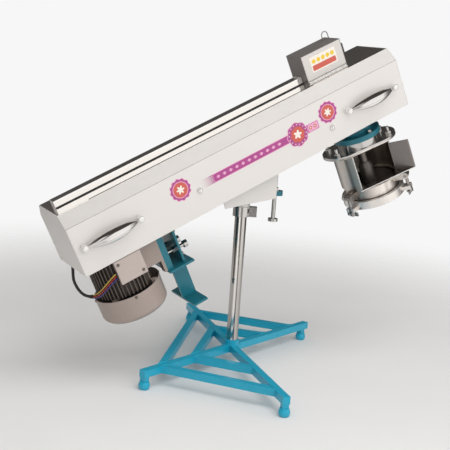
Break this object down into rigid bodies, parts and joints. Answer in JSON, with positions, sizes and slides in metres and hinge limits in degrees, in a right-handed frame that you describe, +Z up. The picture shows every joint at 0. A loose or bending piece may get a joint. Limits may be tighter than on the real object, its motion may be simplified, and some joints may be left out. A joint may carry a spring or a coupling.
{
  "type": "sev press",
  "caption": "Motor-driven sev and gathiya extruder: sheet-steel boom that tilts and swivels on a pole stand, motor under one end, feed drum and die ring under the other",
  "frame": {"origin": "on the floor under the middle of the machine's box; the pole's axis stands 10.9 mm towards +X and 2.0 mm towards +Y of it", "axes": "+X along the boom towards the extruding head, -Y the front with the feed window, +Z up"},
  "size_m": [1.1084, 0.8526, 0.9575],
  "materials": {
    "base_paint": "gloss enamel, bright cyan blue",
    "bracket_paint": "enamel, darker teal",
    "satin_steel": "satin stainless sheet",
    "polished_steel": "polished stainless",
    "motor_paint": "warm grey paint",
    "motor_iron": "dark brown painted casting",
    "machine_iron": "machined iron",
    "black_plastic": "moulded",
    "black_rubber": "matt",
    "wire_sheath": "coloured insulation"
  },
  "bodies": {
    "stand": {"side_bars": "base_paint", "depth_bars": "base_paint", "braces": "base_paint", "leg_posts": "base_paint", "feet": "base_paint", "pole_socket": "base_paint", "pole": "polished_steel", "clamp_collar": "polished_steel", "collar_bolt": "polished_steel"},
    "yoke": {"yoke_plates": "satin_steel", "yoke_sleeve": "bracket_paint", "stop_lug": "bracket_paint"},
    "stop_screw": {"stop_screw": "polished_steel"},
    "boom": {"front_cover": "satin_steel", "rear_cover": "satin_steel", "top_cover": "satin_steel", "end_caps": "satin_steel", "side_rails": "bracket_paint", "cross_plates": "bracket_paint", "pivot_bosses": "bracket_paint", "pivot_bolt": "machine_iron", "tilt_stop_rod": "bracket_paint", "cover_screws": "polished_steel", "front_handles": "polished_steel", "rear_handles": "polished_steel", "cable_duct": "polished_steel", "control_box": "satin_steel", "control_panel": "satin_steel", "wire_loop": "polished_steel", "cord_gland": "black_plastic", "motor_frame": "motor_iron", "fan_cowl": "motor_paint", "terminal_box": "motor_paint", "motor_plate": "bracket_paint", "hanger_plate": "bracket_paint", "tension_bolts": "polished_steel", "rest_leg": "bracket_paint", "motor_lead": "black_rubber", "core_wires": "wire_sheath", "counter_bearing": "machine_iron", "drive_belts": "black_rubber", "bearing_housing": "bracket_paint", "head_bearings": "polished_steel", "eared_flange": "polished_steel", "ear_studs": "polished_steel", "feed_drum": "polished_steel", "feed_tray": "polished_steel", "die_plate": "polished_steel", "die_ring": "polished_steel"},
    "motor_rotor": {"motor_shaft": "machine_iron", "motor_fan": "black_plastic", "motor_pulley": "machine_iron"},
    "countershaft": {"countershaft": "machine_iron"},
    "extruder_rotor": {"rotor_shaft": "polished_steel", "head_pulley": "machine_iron", "feed_screw": "polished_steel"},
    "left_swing_bolt": {"left_swing_bolt": "polished_steel"},
    "right_swing_bolt": {"right_swing_bolt": "polished_steel"},
    "rear_swing_bolt": {"rear_swing_bolt": "polished_steel"},
    "switch_knob": {"switch_knob": "black_plastic"}
  },
  "joints": [
    {"name": "mast_swivel", "type": "hinge", "parent": "stand", "child": "yoke", "pos_m": [0.01088, 0.00202, 0.487], "axis": [0, 0, 1], "continuous": true},
    {"name": "boom_tilt", "type": "hinge", "parent": "yoke", "child": "boom", "pos_m": [0.01088, 0.00202, 0.566], "axis": [0, 1, 0], "range_deg": [0, 25.8]},
    {"name": "stop_screw_feed", "type": "slide", "parent": "yoke", "child": "stop_screw", "axis": [0, 0, 1], "range_m": [-0.025, 0]},
    {"name": "motor_spin", "type": "hinge", "parent": "boom", "child": "motor_rotor", "pos_m": [-0.37622, 0.00202, 0.35443], "axis": [-0.4352, 0, 0.9003], "continuous": true},
    {"name": "counter_spin", "type": "hinge", "parent": "boom", "child": "countershaft", "pos_m": [-0.15505, 0.00202, 0.50578], "axis": [-0.4352, 0, 0.9003], "continuous": true},
    {"name": "rotor_spin", "type": "hinge", "parent": "boom", "child": "extruder_rotor", "pos_m": [0.35753, 0.00202, 0.70914], "axis": [-0.4352, 0, 0.9003], "continuous": true},
    {"name": "left_bolt_swing", "type": "hinge", "parent": "boom", "child": "left_swing_bolt", "pos_m": [0.35179, -0.0252, 0.48089], "axis": [-0.2269, 0.9677, -0.1097], "range_deg": [0, 90]},
    {"name": "right_bolt_swing", "type": "hinge", "parent": "boom", "child": "right_swing_bolt", "pos_m": [0.51416, -0.07488, 0.55938], "axis": [-0.6411, -0.7022, -0.3099], "range_deg": [0, 90]},
    {"name": "rear_bolt_swing", "type": "hinge", "parent": "boom", "child": "rear_swing_bolt", "pos_m": [0.47171, 0.10614, 0.53886], "axis": [0.868, -0.2656, 0.4196], "range_deg": [0, 90]},
    {"name": "switch_turn", "type": "hinge", "parent": "boom", "child": "switch_knob", "pos_m": [0.27386, -0.01998, 0.9075], "axis": [0.9003, 0, 0.4352], "range_deg": [0, 90]}
  ],
  "couplings": [
    {"joint": "counter_spin", "follows": "motor_spin", "ratio": 0.48016},
    {"joint": "rotor_spin", "follows": "motor_spin", "ratio": 0.19772}
  ]
}
